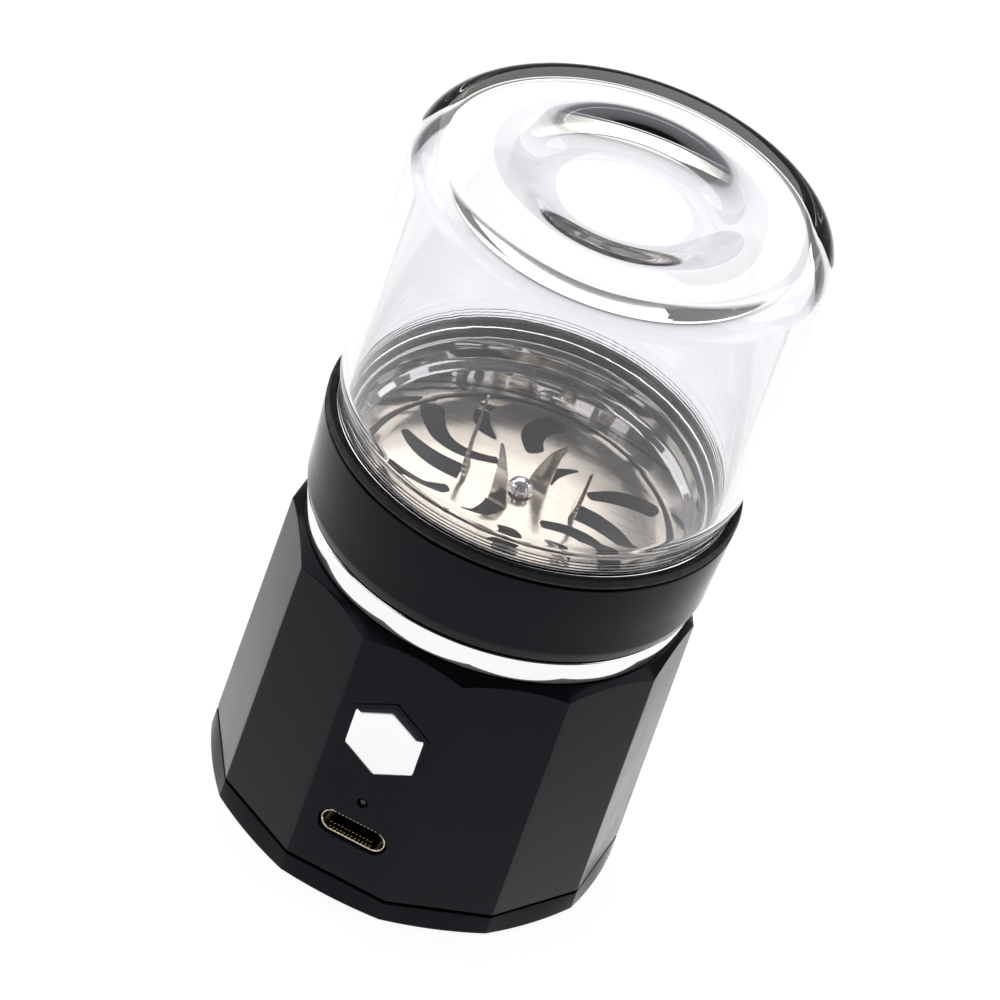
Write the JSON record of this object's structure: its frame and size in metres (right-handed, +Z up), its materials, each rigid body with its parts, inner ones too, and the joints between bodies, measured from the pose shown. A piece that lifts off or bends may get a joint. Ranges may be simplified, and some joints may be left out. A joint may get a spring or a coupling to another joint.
{
  "type": "rechargeable herb grinder",
  "caption": "Hand-size electric grinder: a faceted base with button and charging port, a spinning blade disc in a steel cup, and a clear glass jar screwed on mouth down.",
  "frame": {"origin": "middle of the underside, on the surface that it stands on", "axes": "+Z up along the axis of the base, the blade and the jar; -Y is the facet with the button and the charging port"},
  "size_m": [0.0526, 0.0526, 0.097],
  "materials": {
    "clear_glass": "clear, polished",
    "satin_black_plastic": "satin charcoal",
    "gloss_black_plastic": "gloss black",
    "black_silicone": "fine matt grain",
    "clear_silicone": "milky",
    "bright_chrome": "mirror",
    "polished_steel": "polished",
    "brushed_steel": "brushed",
    "warm_polished_steel": "polished, slightly warm",
    "zinc_screw": "zinc plated",
    "brass": "turned",
    "copper": "turned copper",
    "lacquered_iron": "lacquered laminations",
    "ferrite": "pressed ferrite",
    "white_plastic": "moulded",
    "dark_plastic": "moulded",
    "clear_plastic": "clear moulded",
    "circuit_laminate": "solder mask",
    "battery_foil": "laminated pouch",
    "red_insulation": "extruded",
    "black_insulation": "extruded"
  },
  "bodies": {
    "base": {"rim_ring": "black_silicone", "collar": "gloss_black_plastic", "chrome_ring": "bright_chrome", "steel_cup": "polished_steel", "shaft_seal": "black_silicone", "bearing_bush": "brass", "motor_can": "polished_steel", "motor_plate": "brushed_steel", "motor_magnet_1": "ferrite", "motor_magnet_2": "ferrite", "motor_end_cap": "white_plastic", "base_housing": "satin_black_plastic", "bottom_cover": "satin_black_plastic", "foot_pad": "black_silicone", "switch_body": "dark_plastic", "port_shell": "bright_chrome", "port_tongue": "dark_plastic", "circuit_board": "circuit_laminate", "status_led": "white_plastic", "light_pipe": "clear_plastic", "control_chip": "dark_plastic", "charge_chip": "dark_plastic", "battery_cell": "battery_foil", "motor_lead_red": "red_insulation", "motor_lead_black": "black_insulation", "battery_lead_red": "red_insulation", "battery_lead_black": "black_insulation", "cover_screw_1": "zinc_screw", "plate_screw_1": "zinc_screw", "collar_screw_1": "zinc_screw", "cover_screw_2": "zinc_screw", "plate_screw_2": "zinc_screw", "collar_screw_2": "zinc_screw", "cover_screw_3": "zinc_screw", "plate_screw_3": "zinc_screw", "collar_screw_3": "zinc_screw", "motor_screw_1": "zinc_screw", "board_screw_1": "zinc_screw", "motor_screw_2": "zinc_screw", "board_screw_2": "zinc_screw"},
    "rotor": {"motor_shaft": "brushed_steel", "rotor_core": "lacquered_iron", "commutator": "copper", "blade_hub": "brass", "blade_disc": "warm_polished_steel", "hub_screw": "bright_chrome"},
    "button": {"power_button": "bright_chrome"},
    "plunger": {"switch_plunger": "white_plastic"},
    "seal": {"jar_seal": "clear_silicone"},
    "jar": {"glass_jar": "clear_glass"}
  },
  "joints": [
    {"name": "blade_spin", "type": "hinge", "parent": "base", "child": "rotor", "pos_m": [0, 0, 0.0504], "axis": [0, 0, 1], "continuous": true},
    {"name": "jar_turn", "type": "hinge", "parent": "base", "child": "seal", "pos_m": [0, 0, 0.0517], "axis": [0, 0, 1], "range_deg": [0, 360]},
    {"name": "jar_rise", "type": "slide", "parent": "seal", "child": "jar", "axis": [0, 0, 1], "range_m": [0, 0.012]},
    {"name": "button_press", "type": "slide", "parent": "base", "child": "button", "axis": [0, 1, 0], "range_m": [0, 0.0005], "stiffness_N_per_m": 800, "springref_m": -0.0005},
    {"name": "plunger_press", "type": "slide", "parent": "base", "child": "plunger", "axis": [0, 1, 0], "range_m": [0, 0.0005]}
  ],
  "couplings": [
    {"joint": "jar_rise", "follows": "jar_turn", "m_per_rad": 0.0019098},
    {"joint": "plunger_press", "follows": "button_press", "ratio": 1}
  ]
}
